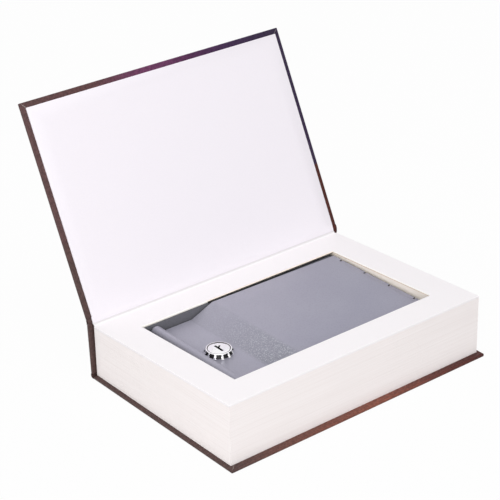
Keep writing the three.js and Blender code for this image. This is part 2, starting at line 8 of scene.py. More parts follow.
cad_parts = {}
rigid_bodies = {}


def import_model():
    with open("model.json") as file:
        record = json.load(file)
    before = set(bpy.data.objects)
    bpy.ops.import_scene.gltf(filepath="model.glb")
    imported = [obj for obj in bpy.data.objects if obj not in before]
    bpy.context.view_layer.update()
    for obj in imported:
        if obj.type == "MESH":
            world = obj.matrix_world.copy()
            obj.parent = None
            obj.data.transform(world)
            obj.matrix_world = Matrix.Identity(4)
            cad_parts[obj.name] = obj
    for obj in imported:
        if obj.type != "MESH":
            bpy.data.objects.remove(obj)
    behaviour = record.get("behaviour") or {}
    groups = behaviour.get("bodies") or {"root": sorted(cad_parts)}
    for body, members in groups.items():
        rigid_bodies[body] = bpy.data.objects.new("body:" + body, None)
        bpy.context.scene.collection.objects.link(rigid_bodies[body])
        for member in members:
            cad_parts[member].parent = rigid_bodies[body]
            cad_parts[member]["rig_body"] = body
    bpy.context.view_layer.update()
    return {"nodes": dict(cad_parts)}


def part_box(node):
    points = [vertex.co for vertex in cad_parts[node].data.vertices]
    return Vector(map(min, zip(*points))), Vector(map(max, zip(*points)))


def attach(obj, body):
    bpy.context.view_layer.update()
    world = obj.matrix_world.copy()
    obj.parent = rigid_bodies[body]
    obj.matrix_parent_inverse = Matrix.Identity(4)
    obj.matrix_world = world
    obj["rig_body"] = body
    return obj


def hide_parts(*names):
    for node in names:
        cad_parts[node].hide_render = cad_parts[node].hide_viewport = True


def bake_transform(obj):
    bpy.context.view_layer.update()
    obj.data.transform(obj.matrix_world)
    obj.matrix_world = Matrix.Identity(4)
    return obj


# A hard-cover book, open on a table, with a steel cash box let into its pages.
# Shapes are drawn in millimetres and made into pieces in metres, in the frame of the solids.

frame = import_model()

MM = 0.001

# Covers, spine and their hinge lines, each hinge as Y, Z
COVER_END = 120.0
COVER_WIDTH = 163.4
BOARD = 2.5
HINGE_TO_BOARD = 2.0
REAR_HINGE = (83.7, 1.6)
FRONT_HINGE = (85.2443, 45.8238)
SPINE_HEIGHT = 44.2508
SPINE_LEAN = 2.0
COVER_ANGLE = 64.3
BOARD_ROUNDING = 0.7
WRAP = 0.45
TURN_IN = 15.0
TURN_IN_STEP = 0.13

# Pages and papers
PAGE_END = 117.0
PAGE_FORE = -76.65
PAGE_SPINE = 81.35
PAGE_BOTTOM = 2.56
SPINE_TOP = 43.5
TOP_SLOPE = 0.0430380
CARD = 1.5
GLUE_GAP = 0.05
# Height of the painted shade line at the card's foot
JUNCTION_SHADE_HEIGHT = 0.55
SHADOW_GAP = 0.7
LEAVES = 96
LEAF_SHARE = 0.95
UNEVEN_LEAVES = 0.0007
WINDOW_END = 92.0
PAGES_UNDER_CARD = 0.2
CARD_WINDOW = (-51.15, 56.6)
PAGE_WINDOW = (-53.35, 58.05)
PASTEDOWN_SIDE = 4.1
PASTEDOWN_EDGE = 4.3
PASTEDOWN_HINGE = 0.5
PASTEDOWN_FACE = 2.0
GUTTER_ENDS = (-116.6, 115.6)
GUTTER_FOLD = (83.35, 44.75)
CREASE_REACH = 1.1

# Lid
MIDDLE = 2.35
SHEET = 1.2
LID_HALF = 52.1
LID_ROUNDING = 1.2
LIP_X = -86.8
LIP_RADIUS = 4.9
LIP_TOP = 42.354
SHELF_X = -75.6
SHELF_Z = 36.254
SKIRT_Z = 31.754
SHELF_CORNER = 1.5
RAMP_FOOT = -49.0
RAMP_TOP = (-30.0, 44.154)
RAMP_CORNER = 4.0
LAND_X = 83.6
LAND_Z = 42.754
PLATE_END = 89.6
PIN = (87.3, 38.954)
KNUCKLE_RADIUS = 2.3
KNUCKLE_BORE = 1.1
KNUCKLE_HALF = 50.3
OUTER_KNUCKLE = 8.8
KNUCKLE_GAP = 1.5
RELIEF = 2.6
# How far below the land the rim's painted shadow reaches
PAINTED_SHADOW_RIM = 0.35

# Lock
LOCK_X = -64.1
BARREL_RADIUS = 9.3
BORE_RADIUS = 6.3
LOCK_HOLE_PLAY = 0.3
LOCK_HOLE_ENDS = (30, 42)
HEAD_BORE = 8.3
HEAD_FACE_RADIUS = 9.4
HEAD_BASE_RADIUS = 11.3
HEAD_Z = 36.554
FACE_Z = 39.954
BARREL_Z = 20.954
HEAD_SEAT_Z = 38.154
WAFER_GROOVE = (4.5, 7.2, 24.954)
THREAD_PITCH = 1.0
THREAD_DEPTH = 0.35
THREAD_LEVELS = 66
SCOOPS = 12
SCOOP_TURN = math.radians(6.3)
SCOOP_DEPTH = 1.5
SCOOP_WIDTH = 0.76
SCOOP_TAPER = 0.12
SCOOP_SIDE = 0.12
SCOOP_TOP = 0.06
SCOOP_TOP_SLOPE = 0.09
SCOOP_SHADE_FROM = 0.3
STEPS_PER_SCOOP = 20
KEYWAY_REACH = 5.2

# Scales of patterns, and where finishes and their painted light and shade change
PRINT_SCALE = 4.17
PRINT_HORIZON = 78.0
BORDER_MIDDLE = (104.5, 67.0)
WEAVE_SCALE = 9000
# Where the painted shadow of the gap beside the raised top starts
SHADOW_GAP_START = RAMP_TOP[0] - 2
PAINTED_LIGHT_SLANT = 1.38
PAINTED_LIGHT_FADE = (-63.0, 73.0)
LIP_SHADE_END = -82.5
PAINTED_GLINT_BAND = (12.0, 8.0)
PAINTED_GLINT_FADE = (35.0, -30.0)

# Floor and light, and the photograph's camera: its place in metres, its heading, dip and roll in degrees
FLOOR_REACH = 4000
FLOOR_WHITE = 0.97
AMBIENT = 0.56
CAMERA_PLACE = (-0.73155, -0.87708, 0.67334)
CAMERA_TURN = (38.4268, 26.7326, 1.2347)
CAMERA_LENS = 128.647

# Colours used more than once
ENDPAPER_WHITE = (0.85, 0.812, 0.861)
CARD_WHITE = (0.935, 0.905, 0.922)


# Finishes

class Nodes:
    """A node tree, and short ways to add to it."""

    def __init__(self, tree):
        self.tree = tree

    def add(self, kind, inputs, **settings):
        """A node whose inputs are numbers, colours or other nodes' sockets."""
        node = self.tree.nodes.new(kind)
        for name, value in settings.items():
            setattr(node, name, value)
        for name, value in inputs.items():
            if isinstance(value, bpy.types.NodeSocket):
                self.tree.links.new(value, node.inputs[name])
            else:
                node.inputs[name].default_value = value
        return node

    def calc(self, operation, a, b=0.0, c=0.0):
        return self.add("ShaderNodeMath", {0: a, 1: b, 2: c}, operation=operation).outputs[0]

    def background_ray(self):
        """1 on rays that show the background: from the camera, off gloss or through glass."""
        path = self.add("ShaderNodeLightPath", {}).outputs
        seen = path["Is Camera Ray"]
        for other in ("Is Glossy Ray", "Is Transmission Ray"):
            seen = self.calc("MAXIMUM", seen, path[other])
        return seen

    def show(self, share, plain, white, output):
        """End the tree in a plain look with a share of white."""
        seen = self.add("ShaderNodeMixShader", {0: share, 1: plain.outputs[0], 2: white.outputs[0]})
        self.tree.links.new(seen.outputs[0], self.tree.nodes[output].inputs["Surface"])


class Finish(Nodes):
    """A material in the making: its shader, and short ways to draw its colour, gloss and relief."""

    def __init__(self, name, colour, roughness, **sockets):
        self.material = bpy.data.materials.new(name)
        self.material.use_nodes = True
        super().__init__(self.material.node_tree)
        self.shader = self.tree.nodes["Principled BSDF"]
        self.material.diffuse_color = (*colour, 1)
        self.shader.inputs["Base Color"].default_value = (*colour, 1)
        self.shader.inputs["Roughness"].default_value = roughness
        for name, value in sockets.items():
            self.shader.inputs[name.replace("_", " ")].default_value = value

    def place(self, scale=(1, 1, 1)):
        """The piece's own coordinates, stretched."""
        source = self.add("ShaderNodeTexCoord", {}).outputs["Object"]
        return self.add("ShaderNodeMapping", {"Vector": source, "Scale": scale}).outputs["Vector"]

    def noise(self, scale, detail=2.0, rough=0.5, stretch=(1, 1, 1)):
        inputs = {"Vector": self.place(stretch), "Scale": scale, "Detail": detail, "Roughness": rough}
        return self.add("ShaderNodeTexNoise", inputs).outputs["Fac"]

    def cells(self, scale):
        inputs = {"Vector": self.place(), "Scale": scale}
        return self.add("ShaderNodeTexVoronoi", inputs).outputs["Distance"]

    def axis(self, name):
        return self.add("ShaderNodeSeparateXYZ", {"Vector": self.place()}).outputs[name]

    def away(self, name, place):
        """The distance from a place along an axis; places are in millimetres, here and below."""
        return self.calc("ABSOLUTE", self.calc("SUBTRACT", self.axis(name), place * MM))

    def past(self, name, place):
        """1 beyond a place along an axis."""
        return self.calc("GREATER_THAN", self.axis(name), place * MM)

    def fade(self, value, start, end, low=0.0):
        """A share that goes from low to 1 as a value goes from start to end."""
        inputs = {"Value": value, "From Min": start * MM, "From Max": end * MM, "To Min": low}
        return self.add("ShaderNodeMapRange", inputs).outputs["Result"]

    def both(self, a, b):
        return self.calc("MULTIPLY", a, b)

    def ramp(self, value, stops):
        node = self.add("ShaderNodeValToRGB", {"Fac": value})
        elements = node.color_ramp.elements
        while len(elements) < len(stops):
            elements.new(0.5)
        for element, (position, colour) in zip(elements, stops):
            element.position = position
            element.color = (*colour, 1)
        return node.outputs["Color"]

    def mix(self, share, a, b, blend_type="MIX"):
        a, b = (c if isinstance(c, bpy.types.NodeSocket) else (*c, 1) for c in (a, b))
        inputs = {0: share, 6: a, 7: b}
        return self.add("ShaderNodeMix", inputs, data_type="RGBA", blend_type=blend_type).outputs[2]

    def times(self, a, b):
        """Two colours multiplied."""
        return self.mix(1.0, a, b, "MULTIPLY")

    def colour(self, socket):
        self.tree.links.new(socket, self.shader.inputs["Base Color"])

    def gloss(self, value, low, high):
        inputs = {"Value": value, "To Min": low, "To Max": high}
        socket = self.add("ShaderNodeMapRange", inputs).outputs["Result"]
        self.tree.links.new(socket, self.shader.inputs["Roughness"])

    def relief(self, height, strength, depth_mm):
        inputs = {"Height": height, "Strength": strength, "Distance": depth_mm * MM}
        socket = self.add("ShaderNodeBump", inputs).outputs["Normal"]
        self.tree.links.new(socket, self.shader.inputs["Normal"])


def printed_wrap():
    """Dark mottled print under a satin film: brown, maroon, purple and navy, over red-brown."""
    finish = Finish("printed_wrap", (0.045, 0.018, 0.018), 0.5, Specular_IOR_Level=0.16)
    along = finish.calc("MULTIPLY_ADD", finish.axis("X"), PRINT_SCALE, 0.5)
    clouds = finish.calc("MULTIPLY_ADD", finish.noise(16, 5, 0.6), 0.24, -0.12)
    print_place = finish.calc("ADD", along, clouds)
    upper_stops = [
        (0.0, (0.1, 0.055, 0.056)),
        (0.25, (0.105, 0.05, 0.053)),
        (0.45, (0.15, 0.045, 0.115)),
        (0.62, (0.085, 0.026, 0.08)),
        (0.82, (0.05, 0.022, 0.075)),
        (1.0, (0.032, 0.02, 0.052)),
    ]
    lower_stops = [
        (0.0, (0.085, 0.052, 0.05)),
        (0.35, (0.18, 0.07, 0.053)),
        (0.58, (0.24, 0.085, 0.06)),
        (0.78, (0.14, 0.045, 0.037)),
        (1.0, (0.07, 0.018, 0.015)),
    ]
    upper = finish.ramp(print_place, upper_stops)
    lower = finish.ramp(print_place, lower_stops)
    horizon = finish.calc("MULTIPLY_ADD", finish.noise(30, 4), 0.03, PRINT_HORIZON * MM)
    below = finish.calc("LESS_THAN", finish.axis("Z"), horizon)
    ground = finish.mix(below, upper, lower)
    fleck = finish.ramp(finish.noise(420, 4, 0.7), [(0.35, (0.7, 0.7, 0.7)), (0.7, (1.3, 1.25, 1.2))])
    finish.colour(finish.times(ground, fleck))
    finish.gloss(finish.noise(60, 3), 0.44, 0.58)
    finish.relief(finish.noise(1400, 3), 0.25, 0.03)
    return finish.material


def wrap_core():
    """The pale core of the wrap, bare where a turn-in is cut."""
    finish = Finish("wrap_core", (0.42, 0.38, 0.36), 0.8, Specular_IOR_Level=0.1)
    fibres = finish.noise(2400, 3)
    finish.colour(finish.ramp(fibres, [(0.3, (0.3, 0.27, 0.26)), (0.7, (0.5, 0.46, 0.43))]))
    return finish.material


def white_paper(name, colour):
    """Smooth white paper with a faint fibre grain."""
    finish = Finish(name, colour, 0.85, Specular_IOR_Level=0.2)
    darker = tuple(0.975 * c for c in colour)
    fibres = finish.noise(900, 4, 0.6, (1, 3, 3))
    finish.colour(finish.ramp(fibres, [(0.3, darker), (0.62, colour)]))
    finish.relief(finish.noise(2600, 3), 0.15, 0.02)
    return finish.material


def creased_paper(name, colour, far):
    """The endpaper across the joint: greyer in its crease as painted shade, and as white as its neighbour
    further off.
    """
    finish = Finish(name, colour, 0.85, Specular_IOR_Level=0.2)
    reach = finish.calc("DIVIDE", finish.away("Z", GUTTER_FOLD[1]), CREASE_REACH * MM)
    # Painted shade in the crease.
    crease_shade = tuple(0.84 * c for c in colour)
    shade = finish.ramp(reach, [(0.0, crease_shade), (0.6, colour), (0.95, far)])
    fibres = finish.noise(900, 4, 0.6, (1, 3, 3))
    finish.colour(finish.times(shade, finish.ramp(fibres, [(0.3, (0.975,) * 3), (0.62, (1.0,) * 3)])))
    return finish.material


def page_edges():
    """Cut pages: fine lines along the leaves, white outside, and creamy and paler inside the window, where
    the paler tone is painted light against the shade.
    """
    finish = Finish("page_edges", (0.9, 0.86, 0.84), 0.95, Specular_IOR_Level=0.1)
    across = finish.calc("DIVIDE", finish.away("X", 0), BORDER_MIDDLE[0] * MM)
    sideways = finish.calc("DIVIDE", finish.away("Y", MIDDLE), BORDER_MIDDLE[1] * MM)
    inside = finish.calc("LESS_THAN", finish.calc("MAXIMUM", across, sideways), 1.0)
    lines = finish.noise(1.0, 3, 0.6, (9, 9, 4200))
    outer = finish.ramp(lines, [(0.3, (0.885, 0.825, 0.815)), (0.6, (0.96, 0.91, 0.905))])
    # Painted light: the walls inside the window paler than outside, against the shade there.
    inner = finish.ramp(lines, [(0.3, (0.98, 0.88, 0.77)), (0.6, (1.0, 0.945, 0.865))])
    finish.colour(finish.mix(inside, outer, inner))
    finish.relief(lines, 0.25, 0.04)
    return finish.material


def card_edge():
    """The cut edge of the card round the window: cream, with a tan line of painted shade at its foot at the
    hinge end.

    Beside the lid's raised top the core is warmer and darker as painted shade, over a near-black painted
    shadow of the gap between card and box.
    """
    finish = Finish("card_edge", (0.98, 0.95, 0.88), 0.9, Specular_IOR_Level=0.1)
    plies = finish.noise(1.0, 2, 0.5, (40, 40, 3000))
    core = finish.ramp(plies, [(0.3, (0.97, 0.93, 0.86)), (0.65, (1.0, 0.985, 0.94))])
    level = finish.calc("MULTIPLY_ADD", finish.axis("Y"), TOP_SLOPE, finish.axis("Z"))
    card_foot = SPINE_TOP - CARD + PAGE_SPINE * TOP_SLOPE

    def below(height):
        """1 up to a height above the card's foot."""
        return finish.calc("LESS_THAN", level, (card_foot + height) * MM)

    # Painted shade: a tan line at the card's foot where it meets the pages, at the hinge end.
    junction_shade = finish.both(below(JUNCTION_SHADE_HEIGHT), finish.past("X", 0.9 * WINDOW_END))
    pale = finish.mix(junction_shade, core, (0.7, 0.53, 0.38))
    at_end = finish.past("X", WINDOW_END - 0.3)
    before_end = finish.calc("SUBTRACT", 1.0, at_end)
    on_spine_side = finish.past("Y", CARD_WINDOW[1] - 1)
    beside_top = finish.both(on_spine_side, finish.both(finish.past("X", SHADOW_GAP_START), before_end))
    # Painted shade: the card's edge warmer and darker beside the raised top.
    warm_painted_shade = finish.mix(beside_top, pale, (0.93, 0.83, 0.73))
    # Painted shadow: the foot of the card's edge near black over the gap beside the raised top.
    gap = finish.both(beside_top, below(SHADOW_GAP))
    finish.colour(finish.mix(gap, warm_painted_shade, (0.02, 0.018, 0.018)))
    return finish.material


def lining_cloth():
    """Plain cotton strip: warp and weft as crossed waves."""
    finish = Finish("lining_cloth", (0.69, 0.64, 0.55), 0.95, Sheen_Weight=0.15)
    warp, weft = (finish.calc("SINE", finish.both(finish.axis(name), WEAVE_SCALE)) for name in ("X", "Z"))
    weave = finish.calc("MULTIPLY_ADD", finish.both(warp, weft), 0.5, 0.5)
    finish.colour(finish.ramp(weave, [(0.0, (0.55, 0.5, 0.42)), (1.0, (0.74, 0.69, 0.6))]))
    finish.relief(weave, 0.5, 0.1)
    return finish.material


def hammered_coat():
    """Violet-grey powder coat with a fine hammered grain, with painted glints on the outer face of the
    ramp.

    Painted light falls off slantwise along the lid; painted shade darkens the ramp a little, and the lip's
    outer side more.
    """
    finish = Finish("hammered_coat", (0.31, 0.305, 0.36), 0.45, Metallic=0.2, Specular_IOR_Level=0.4)
    fine = finish.noise(2100, 3, 0.6)
    grain = finish.calc("MULTIPLY_ADD", fine, 0.6, finish.cells(780))
    tone = finish.ramp(grain, [(0.2, (0.285, 0.28, 0.334)), (0.8, (0.335, 0.33, 0.388))])
    cloud = finish.ramp(finish.noise(24, 3), [(0.3, (0.96, 0.96, 0.97)), (0.7, (1.03, 1.03, 1.02))])
    # Painted light: the coat is lighter towards the lock end and darker towards the hinge end, slantwise.
    slantwise = finish.calc("MULTIPLY_ADD", finish.axis("Y"), -PAINTED_LIGHT_SLANT, finish.axis("X"))
    along = finish.fade(slantwise, *PAINTED_LIGHT_FADE)
    painted_light_fall = finish.ramp(along, [(0.0, (1.13, 1.12, 1.14)), (1.0, (0.925, 0.925, 0.98))])
    # Painted shade on the lip's outer side, deep in the window's recess.
    from_lip = finish.fade(finish.axis("X"), LIP_X, LIP_SHADE_END)
    lip = finish.ramp(from_lip, [(0.0, (0.55,) * 3), (1.0, (1.0,) * 3)])
    even = finish.times(finish.times(tone, cloud), finish.times(painted_light_fall, lip))
    slope = (RAMP_TOP[1] - SHELF_Z) / (RAMP_TOP[0] - RAMP_FOOT)
    ramp_line = finish.calc("MULTIPLY_ADD", finish.axis("X"), slope, (SHELF_Z - RAMP_FOOT * slope) * MM)
    outer_face = finish.calc("MINIMUM", finish.calc("MAXIMUM", ramp_line, SHELF_Z * MM), RAMP_TOP[1] * MM)
    inner_half = finish.calc("SUBTRACT", outer_face, SHEET / 2 * MM)
    outside = finish.calc("GREATER_THAN", finish.axis("Z"), inner_half)
    band = finish.fade(finish.away("X", (RAMP_FOOT + RAMP_TOP[0]) / 2), *PAINTED_GLINT_BAND)
    on_ramp = finish.both(band, outside)
    # Painted shade: the ramp's outer face a little darker, where the lamps light it more.
    even = finish.times(even, finish.mix(on_ramp, (1, 1, 1), (0.95, 0.95, 0.945)))
    # Painted glints: brighter specks on the ramp's outer face, fullest towards the fore-edge; the darker
    # specks are the coat's own grain.
    painted_glints = finish.both(on_ramp, finish.fade(finish.axis("Y"), *PAINTED_GLINT_FADE, 0.2))
    crystal_and_glint_stops = [
        (0.0, (0.21, 0.21, 0.25)),
        (0.4, (0.245, 0.245, 0.29)),
        (0.55, (0.28, 0.28, 0.33)),
        (0.7, (0.45, 0.46, 0.52)),
    ]
    crystals_and_glints = finish.ramp(finish.noise(1150, 1, 0.4), crystal_and_glint_stops)
    finish.colour(finish.mix(painted_glints, even, crystals_and_glints))
    finish.gloss(fine, 0.36, 0.54)
    finish.relief(grain, 0.35, 0.08)
    return finish.material


def shaded_coat():
    """The plainer coat on the box itself, painted darker than the lid's as painted shade, and nearly black
    on the rim beside the raised top as a painted shadow.
    """
    # Painted shade: the lid's coat, made darker for the box.
    finish = Finish("shaded_coat", (0.13, 0.13, 0.147), 0.6, Metallic=0.1, Specular_IOR_Level=0.3)
    grain = finish.calc("MULTIPLY_ADD", finish.noise(2100, 3, 0.6), 0.6, finish.cells(780))
    coat = finish.ramp(grain, [(0.2, (0.11, 0.11, 0.125)), (0.8, (0.145, 0.145, 0.164))])
    # Painted shadow: the rim near black beside the raised top, where the gap falls into shade.
    rim = finish.both(finish.past("Z", LAND_Z - PAINTED_SHADOW_RIM), finish.past("X", SHADOW_GAP_START))
    finish.colour(finish.mix(rim, coat, (0.016, 0.015, 0.018)))
    finish.relief(grain, 0.35, 0.08)
    return finish.material


def polished_chrome():
    """Bright chrome plate, a little smeared."""
    finish = Finish("polished_chrome", (0.93, 0.93, 0.95), 0.15, Metallic=1.0)
    smear = finish.noise(320, 3, 0.6, (1, 6, 1))
    finish.colour(finish.ramp(smear, [(0.3, (0.88, 0.88, 0.9)), (0.6, (0.96, 0.96, 0.97))]))
    finish.gloss(smear, 0.1, 0.22)
    finish.relief(finish.noise(900, 2), 0.04, 0.02)
    return finish.material


def painted_recess_shade():
    """Near-black painted shade and dark reflection in the scoops of the lock's head, its ring groove and
    keyway, and the lid's relief slots.
    """
    # Painted shade and reflection: near black where the recesses fall into shade.
    finish = Finish("painted_recess_shade", (0.008, 0.008, 0.009), 0.35, Specular_IOR_Level=0.3)
    speckle = finish.noise(1200, 3)
    finish.colour(finish.ramp(speckle, [(0.3, (0.005, 0.005, 0.006)), (0.7, (0.014, 0.014, 0.016))]))
    finish.gloss(speckle, 0.28, 0.45)
    return finish.material


def turned_metal(name, colour, roughness, scale):
    """Plated or plain metal with a brushed grain and slight patches."""
    finish = Finish(name, colour, roughness, Metallic=1.0)
    brushed = finish.noise(scale, 4, 0.65, (1, 1, 9))
    patches = finish.noise(90, 3)
    dull = tuple(0.82 * c for c in colour)
    bright = tuple(min(1.0, 1.1 * c) for c in colour)
    finish.colour(finish.ramp(patches, [(0.3, dull), (0.7, bright)]))
    finish.gloss(brushed, roughness * 0.75, roughness * 1.35)
    finish.relief(brushed, 0.12, 0.02)
    return finish.material


def black_foam():
    finish = Finish("black_foam", (0.03, 0.03, 0.033), 0.95, Specular_IOR_Level=0.2)
    pores = finish.cells(1500)
    finish.colour(finish.ramp(pores, [(0.1, (0.012, 0.012, 0.014)), (0.6, (0.045, 0.045, 0.05))]))
    finish.relief(pores, 0.7, 0.25)
    return finish.material


def studio_floor():
    """A pale floor that the camera, metal and glass see nearly white, with a trace of the shadow on it."""
    finish = Finish("studio_floor", (0.65,) * 3, 0.9, Specular_IOR_Level=0.0)
    finish.colour(finish.ramp(finish.noise(3, 3), [(0.3, (0.645,) * 3), (0.7, (0.655,) * 3)]))
    white = finish.add("ShaderNodeEmission", {"Color": (1, 1, 1, 1), "Strength": 1.0})
    share = finish.both(finish.background_ray(), FLOOR_WHITE)
    finish.show(share, finish.shader, white, "Material Output")
    return finish.material


# Shapes and pieces

def shade(mesh, smooth=35):
    """Smooth shading, with sharp edges where faces meet at more than an angle."""
    mesh.shade_smooth()
    mesh.set_sharp_from_angle(angle=math.radians(smooth))


def piece(name, shape, materials, smooth=35):
    """Make a shape, drawn in millimetres, into a piece with its faces turned outwards."""
    bmesh.ops.recalc_face_normals(shape, faces=shape.faces[:])
    bmesh.ops.scale(shape, vec=(MM, MM, MM), verts=shape.verts[:])
    mesh = bpy.data.meshes.new(name)
    shape.to_mesh(mesh)
    shape.free()
    for material in materials:
        mesh.materials.append(material)
    shade(mesh, smooth)
    made = bpy.data.objects.new(name, mesh)
    bpy.context.scene.collection.objects.link(made)
    return made


def settle(made):
    """Turn a piece's live modifiers into plain mesh."""
    graph = bpy.context.evaluated_depsgraph_get()
    mesh = bpy.data.meshes.new_from_object(made.evaluated_get(graph))
    made.modifiers.clear()
    made.data = mesh
    shade(mesh)


def soften(made, width, corner):
    """Break the edges that turn by more than an angle."""
    modifier = made.modifiers.new("edge", "BEVEL")
    modifier.width = width * MM
    modifier.segments = 2
    modifier.limit_method = "ANGLE"
    modifier.angle_limit = math.radians(corner)


def rounded_slab(low, high, radius, steps):
    """A slab between two corners, with all its edges rounded."""
    shape = bmesh.new()
    bmesh.ops.create_cube(shape, size=1)
    middle = Vector([(a + b) / 2 for a, b in zip(low, high)])
    size = Vector([b - a for a, b in zip(low, high)])
    for v in shape.verts:
        v.co = middle + v.co * size
    edges = shape.edges[:]
    bmesh.ops.bevel(shape, geom=edges, offset=radius, segments=steps, profile=0.5, affect="EDGES")
    return shape


def add_loops(shape, loops, ends="flat"):
    """Add a skin through rings of points, whose end rings are closed flat, left open or joined."""
    rings = [[shape.verts.new(p) for p in loop] for loop in loops]
    onward = rings[1:] + rings[:1] if ends == "joined" else rings[1:]
    for ring, following in zip(rings, onward):
        for i in range(len(ring)):
            j = (i + 1) % len(ring)
            shape.faces.new((ring[i], ring[j], following[j], following[i]))
    if ends == "flat":
        shape.faces.new(rings[0])
        shape.faces.new(rings[-1])
    return rings


def add_strip_ends(shape, rings):
    """Close both ends of a skin whose section is a folded strip, quad by quad."""
    for ring in (rings[0], rings[-1]):
        last = len(ring) - 1
        for i in range(len(ring) // 2 - 1):
            shape.faces.new((ring[i], ring[i + 1], ring[last - 1 - i], ring[last - i]))


def arc(cx, cz, radius, start, end, steps):
    return [
        (
            cx + radius * math.cos(math.radians(start + (end - start) * i / steps)),
            cz + radius * math.sin(math.radians(start + (end - start) * i / steps)),
        )
        for i in range(steps + 1)
    ]


def fillet(before, corner, after, radius, steps):
    """Points of a rounded corner in a path."""
    corner = Vector(corner)
    back = (Vector(before) - corner).normalized()
    ahead = (Vector(after) - corner).normalized()
    half = back.angle(ahead) / 2
    start = corner + back * radius / math.tan(half)
    centre = corner + (back + ahead).normalized() * radius / math.sin(half)
    arm = start - centre
    turn = math.pi - 2 * half
    if back.cross(ahead) > 0:
        turn = -turn
    points = []
    for i in range(steps + 1):
        a = turn * i / steps
        c, s = math.cos(a), math.sin(a)
        points.append(tuple(centre + Vector((arm.x * c - arm.y * s, arm.x * s + arm.y * c))))
    return points


def smooth_through(points, steps):
    """A smooth path through a few points."""
    path = []
    last = len(points) - 1
    for i in range(last):
        p0 = Vector(points[max(i - 1, 0)])
        p1 = Vector(points[i])
        p2 = Vector(points[i + 1])
        p3 = Vector(points[min(i + 2, last)])
        for s in range(steps):
            t = s / steps
            bend = 2 * p0 - 5 * p1 + 4 * p2 - p3
            twist = 3 * p1 - p0 - 3 * p2 + p3
            path.append(tuple(p1 + ((p2 - p0) * t + bend * t * t + twist * t ** 3) / 2))
    path.append(tuple(points[-1]))
    return path


def ribbon(path, thickness, x0, x1):
    """A thin strip that runs along X: its section follows a path of Y, Z points."""
    outer = [Vector(p) for p in path]
    inner = []
    for i, point in enumerate(outer):
        ahead = (outer[min(i + 1, len(outer) - 1)] - outer[max(i - 1, 0)]).normalized()
        inner.append(point + Vector((-ahead.y, ahead.x)) * thickness)
    section = outer + inner[::-1]
    lengths = [x0, x0 + abs(thickness), x1 - abs(thickness), x1]
    shape = bmesh.new()
    loops = [[(x, p.x, p.y) for p in section] for x in lengths]
    add_strip_ends(shape, add_loops(shape, loops, ends="open"))
    return shape


# Book

def board_place(hinge, degrees):
    """From a board's own X, distance from its hinge and height to the frame, in millimetres."""
    c, s = math.cos(math.radians(degrees)), math.sin(math.radians(degrees))
    return Matrix(((1, 0, 0, 0), (0, c, -s, hinge[0]), (0, s, c, hinge[1]), (0, 0, 0, 1)))


def wrapped_board(width):
    """A board in its wrap: rounded edges, and the fore-edge turn-in folded over the side ones."""
    half = BOARD / 2
    free = HINGE_TO_BOARD + width
    low, high = (-COVER_END, HINGE_TO_BOARD, -half), (COVER_END, free, half - TURN_IN_STEP)
    shape = rounded_slab(low, high, BOARD_ROUNDING, 4)
    edge = 0.9
    fold_back = 0.4
    slant = 0.12
    outline = [
        (-COVER_END + edge, free - edge),
        (COVER_END - edge, free - edge),
        (COVER_END - TURN_IN, free - TURN_IN),
        (-COVER_END + TURN_IN, free - TURN_IN),
    ]
    inset = [
        (-COVER_END + edge + 2 * fold_back, free - edge - slant),
        (COVER_END - edge - 2 * fold_back, free - edge - slant),
        (COVER_END - TURN_IN - fold_back, free - TURN_IN + slant),
        (-COVER_END + TURN_IN + fold_back, free - TURN_IN + slant),
    ]
    foot = [shape.verts.new((x, u, half - 2 * TURN_IN_STEP)) for x, u in outline]
    face = [shape.verts.new((x, u, half)) for x, u in inset]
    shape.faces.new(foot)
    shape.faces.new(face)
    for i in range(4):
        j = (i + 1) % 4
        side = shape.faces.new((foot[i], foot[j], face[j], face[i]))
        side.material_index = i % 2
    return shape


def back_board(finishes):
    shape = wrapped_board(COVER_WIDTH)
    mirror = Matrix.Diagonal((1, -1, 1, 1))
    shape.transform(Matrix.Translation((0, REAR_HINGE[0], BOARD / 2)) @ mirror)
    made = piece("back_board", shape, [finishes["wrap"], finishes["wrap core"]])
    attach(made, "book")
    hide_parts("back_cover")


def front_board(finishes):
    shape = wrapped_board(COVER_WIDTH)
    shape.transform(board_place(FRONT_HINGE, COVER_ANGLE))
    made = piece("front_board", shape, [finishes["wrap"], finishes["wrap core"]])
    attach(made, "cover")
    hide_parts("front_cover")


def spine_piece(finishes):
    """The stiff spine in its wrap."""
    half = BOARD / 2
    low, high = (-COVER_END, HINGE_TO_BOARD, -half), (COVER_END, SPINE_HEIGHT - HINGE_TO_BOARD, half)
    shape = rounded_slab(low, high, BOARD_ROUNDING, 4)
    shape.transform(board_place(REAR_HINGE, 90 - SPINE_LEAN))
    made = piece("wrapped_spine", shape, [finishes["wrap"]])
    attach(made, "spine")
    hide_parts("spine_board")


def joint_path(hinge, start, end):
    """The groove of a joint: round its hinge from one board's outer face to the other's."""
    outer, groove = 2.36, 1.38
    path = []
    for i in range(25):
        share = i / 24
        depth = math.sin(math.pi * share) ** 0.6
        radius = outer - (outer - groove) * depth
        angle = math.radians(start + (end - start) * share)
        path.append((hinge[0] + radius * math.cos(angle), hinge[1] + radius * math.sin(angle)))
    return path


def joints(finishes):
    """The wrap between the boards, bent into a groove at each hinge."""
    tip = COVER_END - 0.1
    rear_path = joint_path(REAR_HINGE, -146.0, 55.0)
    rear = piece("rear_joint_groove", ribbon(rear_path, WRAP, -tip, tip), [finishes["wrap"]], 50)
    front_path = joint_path(FRONT_HINGE, -59.0, 31.0)
    front = piece("front_joint_groove", ribbon(front_path, WRAP, -tip, tip), [finishes["wrap"]], 50)
    for made, path, bodies, node in (
        (rear, rear_path, ("book", "spine"), "rear_joint_cloth"),
        (front, front_path, ("spine", "cover"), "front_joint_cloth"),
    ):
        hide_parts(node)
        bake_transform(made)


